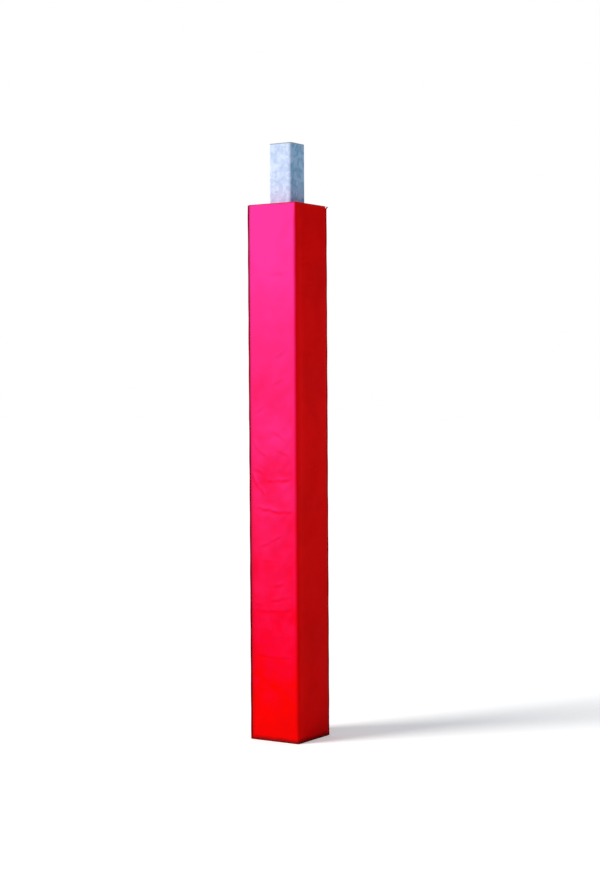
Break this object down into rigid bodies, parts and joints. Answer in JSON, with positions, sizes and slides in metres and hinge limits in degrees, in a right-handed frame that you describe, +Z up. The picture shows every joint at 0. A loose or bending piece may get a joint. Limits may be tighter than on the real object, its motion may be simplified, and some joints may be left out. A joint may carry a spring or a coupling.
{
  "type": "padded net post",
  "caption": "Square steel net post in a fold-around foam pad: four mitred panels in a coated cover, closed at one corner by hook and loop strips.",
  "frame": {"origin": "middle of the post's foot, on the floor", "axes": "+Z up along the post; -Y out of the front panel, +X out of the right panel"},
  "size_m": [0.1944, 0.192, 2.04],
  "materials": {
    "galvanised_steel": "hot-dip galvanised, satin with a mottled spangle",
    "plug_plastic": "moulded, matt",
    "foam": "closed-cell foam, cut faces",
    "lining": "coated woven sheet, matt",
    "cover_red": "red coated fabric, smooth, semi-gloss, faintly creased and sun-faded",
    "loop_fabric": "brushed loop tape",
    "hook_fabric": "hook tape, short stiff pile",
    "webbing": "woven webbing with stitched ends"
  },
  "bodies": {
    "post": {"post_tube": "galvanised_steel", "top_plug": "plug_plastic"},
    "front_panel": {"foam_front": "foam", "lining_front": "lining", "cover_front": "cover_red", "foot_end_front": "cover_red", "top_end_front": "cover_red"},
    "right_panel": {"foam_right": "foam", "lining_right": "lining", "cover_right": "cover_red", "foot_end_right": "cover_red", "top_end_right": "cover_red", "fold_near": "cover_red"},
    "back_panel": {"foam_back": "foam", "lining_back": "lining", "cover_back": "cover_red", "foot_end_back": "cover_red", "top_end_back": "cover_red", "fold_right": "cover_red", "loop_strip": "loop_fabric"},
    "left_panel": {"foam_left": "foam", "lining_left": "lining", "cover_left": "cover_red", "foot_end_left": "cover_red", "top_end_left": "cover_red", "fold_left": "cover_red", "hook_strip": "hook_fabric", "pull_tabs": "webbing"}
  },
  "joints": [
    {"name": "pad_lift", "type": "slide", "parent": "post", "child": "front_panel", "axis": [0, 0, 1], "range_m": [0, 0.2]},
    {"name": "right_fold", "type": "hinge", "parent": "front_panel", "child": "right_panel", "pos_m": [0.096, -0.096, 0], "axis": [0, 0, -1], "range_deg": [0, 90], "deforming": ["fold_near"]},
    {"name": "back_fold", "type": "hinge", "parent": "right_panel", "child": "back_panel", "pos_m": [0.096, 0.096, 0], "axis": [0, 0, -1], "range_deg": [0, 90], "deforming": ["fold_right"]},
    {"name": "left_fold", "type": "hinge", "parent": "front_panel", "child": "left_panel", "pos_m": [-0.096, -0.096, 0], "axis": [0, 0, 1], "range_deg": [0, 90], "deforming": ["fold_left"]}
  ]
}
